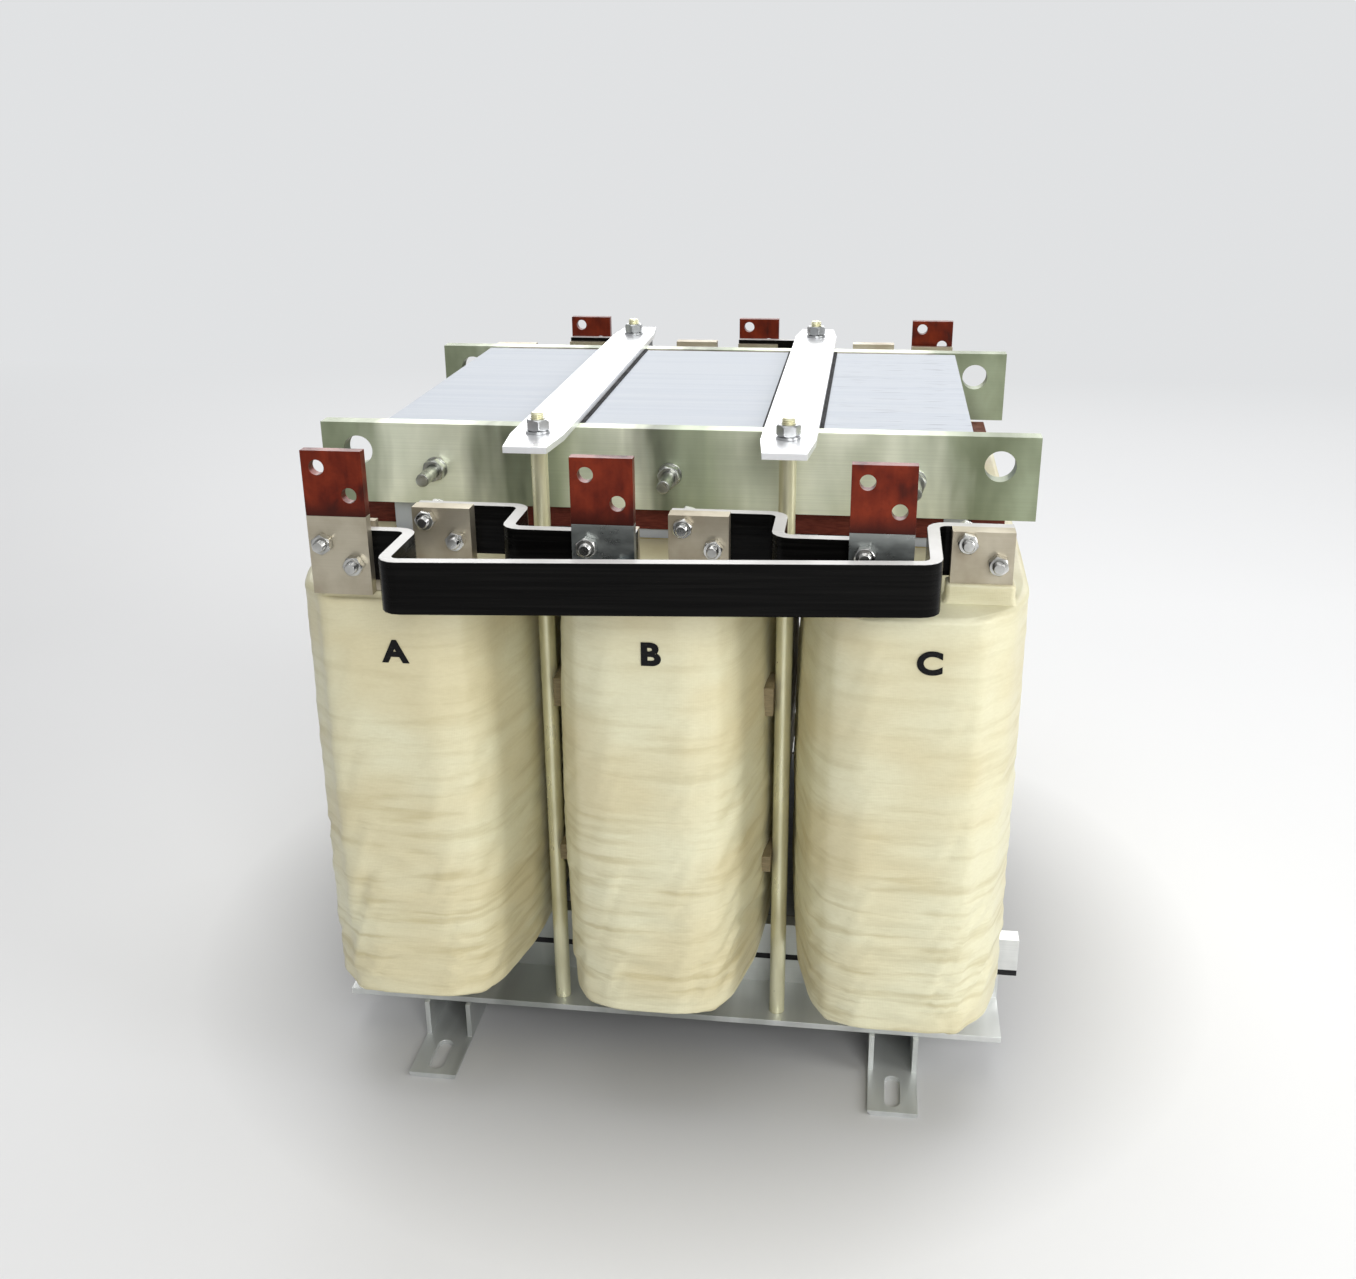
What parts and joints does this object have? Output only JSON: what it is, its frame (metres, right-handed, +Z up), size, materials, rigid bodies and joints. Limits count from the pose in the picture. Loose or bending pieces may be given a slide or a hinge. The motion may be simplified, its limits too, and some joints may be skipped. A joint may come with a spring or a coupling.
{
  "type": "capacitor bank reactor",
  "caption": "Three-phase dry-type iron-core reactor with taped coils, bar clamps, tie rods, copper and aluminium terminals, black link bars and channel feet.",
  "frame": {"origin": "on the floor under the middle of the core", "axes": "+X along the yokes to the right, +Y from the front to the back, +Z up"},
  "size_m": [0.552, 0.734, 0.52],
  "materials": {
    "core_steel": "laminated edge, dull",
    "glass_board": "matte",
    "winding_aluminium": "rolled foil",
    "cotton_tape": "varnished cloth tape",
    "red_board": "matte pressed board",
    "zinc_plate": "zinc plated, satin",
    "black_insulation": "matte",
    "bright_strap": "bright, satin",
    "yellow_zinc": "yellow zinc, glossy",
    "fastener_steel": "zinc plated",
    "copper_bar": "darkened copper, satin",
    "lead_aluminium": "rolled, satin",
    "black_link": "shrunk sleeve, glossy"
  },
  "bodies": {
    "root": {"top_yoke": "core_steel", "bottom_yoke": "core_steel", "limb_a": "core_steel", "limb_b": "core_steel", "limb_c": "core_steel", "air_gap_spacers": "glass_board", "coil_formers": "glass_board", "duct_sticks": "glass_board", "yoke_bolt_sleeves": "glass_board", "coil_a_winding": "winding_aluminium", "coil_b_winding": "winding_aluminium", "coil_c_winding": "winding_aluminium", "coil_a_wrap": "cotton_tape", "coil_b_wrap": "cotton_tape", "coil_c_wrap": "cotton_tape", "coil_spacers": "cotton_tape", "top_coil_blocks": "red_board", "bottom_coil_boards": "red_board", "clamp_insulation": "red_board", "upper_clamp_front": "zinc_plate", "upper_clamp_rear": "zinc_plate", "lower_clamp_front": "zinc_plate", "lower_clamp_rear": "zinc_plate", "base_rail_front": "zinc_plate", "base_rail_rear": "zinc_plate", "foot_left": "zinc_plate", "foot_right": "zinc_plate", "rail_strips": "black_insulation", "yoke_pads": "black_insulation", "strap_insulation": "black_insulation", "strap_left": "bright_strap", "strap_right": "bright_strap", "tie_rods": "yellow_zinc", "tie_rod_nuts": "fastener_steel", "tie_rod_washers": "fastener_steel", "yoke_bolts": "fastener_steel", "yoke_bolt_nuts": "fastener_steel", "yoke_bolt_washers": "fastener_steel", "terminal_bolts": "fastener_steel", "terminal_nuts": "fastener_steel", "terminal_copper_a_front": "copper_bar", "terminal_alum_a_front": "lead_aluminium", "terminal_copper_b_front": "copper_bar", "terminal_alum_b_front": "lead_aluminium", "terminal_copper_c_front": "copper_bar", "terminal_alum_c_front": "lead_aluminium", "link_ab_front": "black_link", "link_bc_front": "black_link", "link_ca_front": "black_link", "terminal_copper_a_rear": "copper_bar", "terminal_alum_a_rear": "lead_aluminium", "terminal_copper_b_rear": "copper_bar", "terminal_alum_b_rear": "lead_aluminium", "terminal_copper_c_rear": "copper_bar", "terminal_alum_c_rear": "lead_aluminium", "link_ab_rear": "black_link", "link_bc_rear": "black_link", "link_ca_rear": "black_link", "outer_leads": "lead_aluminium", "inner_leads": "lead_aluminium"}
  },
  "joints": []
}
